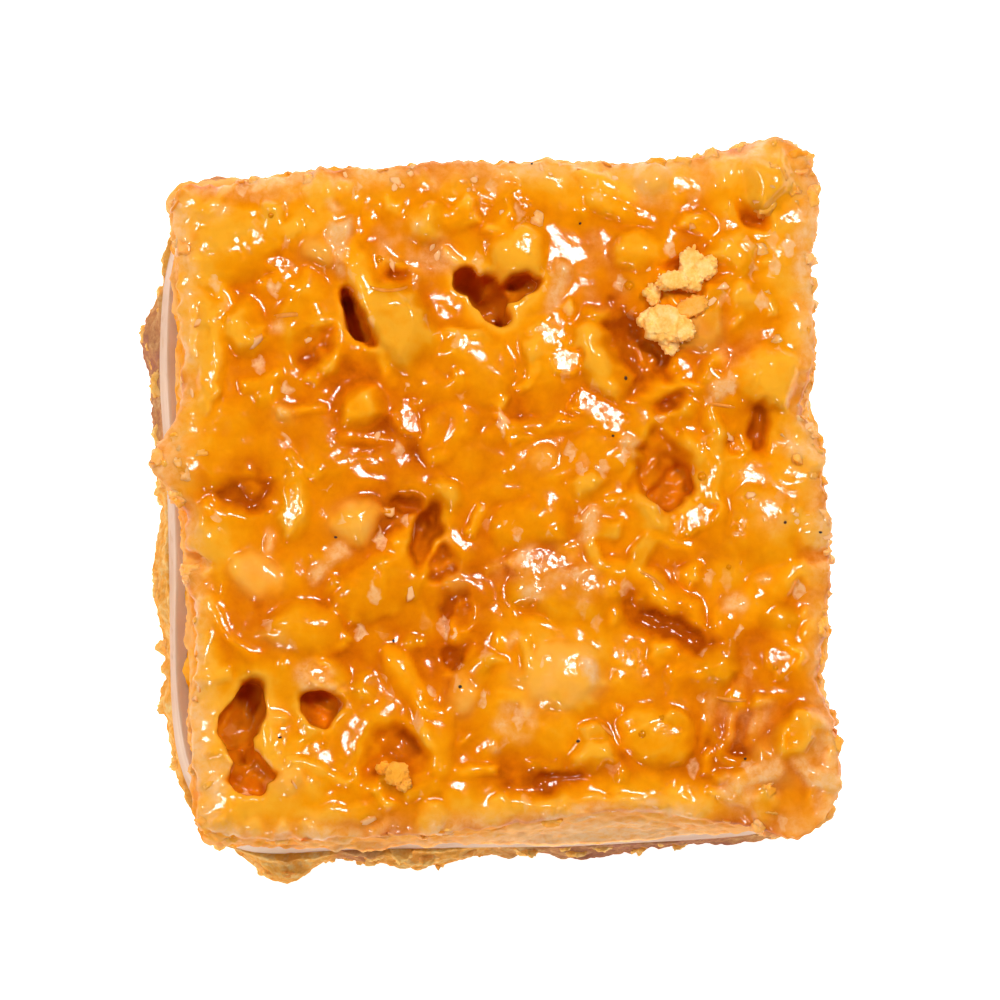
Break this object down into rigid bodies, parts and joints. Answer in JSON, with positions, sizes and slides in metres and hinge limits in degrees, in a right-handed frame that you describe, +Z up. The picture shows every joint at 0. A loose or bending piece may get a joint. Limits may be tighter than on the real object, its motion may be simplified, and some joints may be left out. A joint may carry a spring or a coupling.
{
  "type": "macadamia coconut square",
  "caption": "Cut square of layered cake: crumbly shortbread base, smooth cream layer, and a glazed coconut topping with macadamia pieces, pits and biscuit crumbs.",
  "frame": {"origin": "middle of the underside of the square's bounding box, on the surface it stands on", "axes": "+Z up through the layers, the thin way of the square; +X to the right and +Y away in the picture"},
  "size_m": [0.064, 0.0676, 0.0295],
  "materials": {
    "shortbread": "dry, sandy baked shortbread, standing in for food",
    "cream": "smooth set cream with a faint sheen, standing in for food",
    "glazed_coconut": "wet, glossy golden caramel glaze over coconut and macadamia, standing in for food"
  },
  "bodies": {
    "root": {"shortbread_base": "shortbread", "cream_layer": "cream", "coconut_topping": "glazed_coconut"}
  },
  "joints": []
}
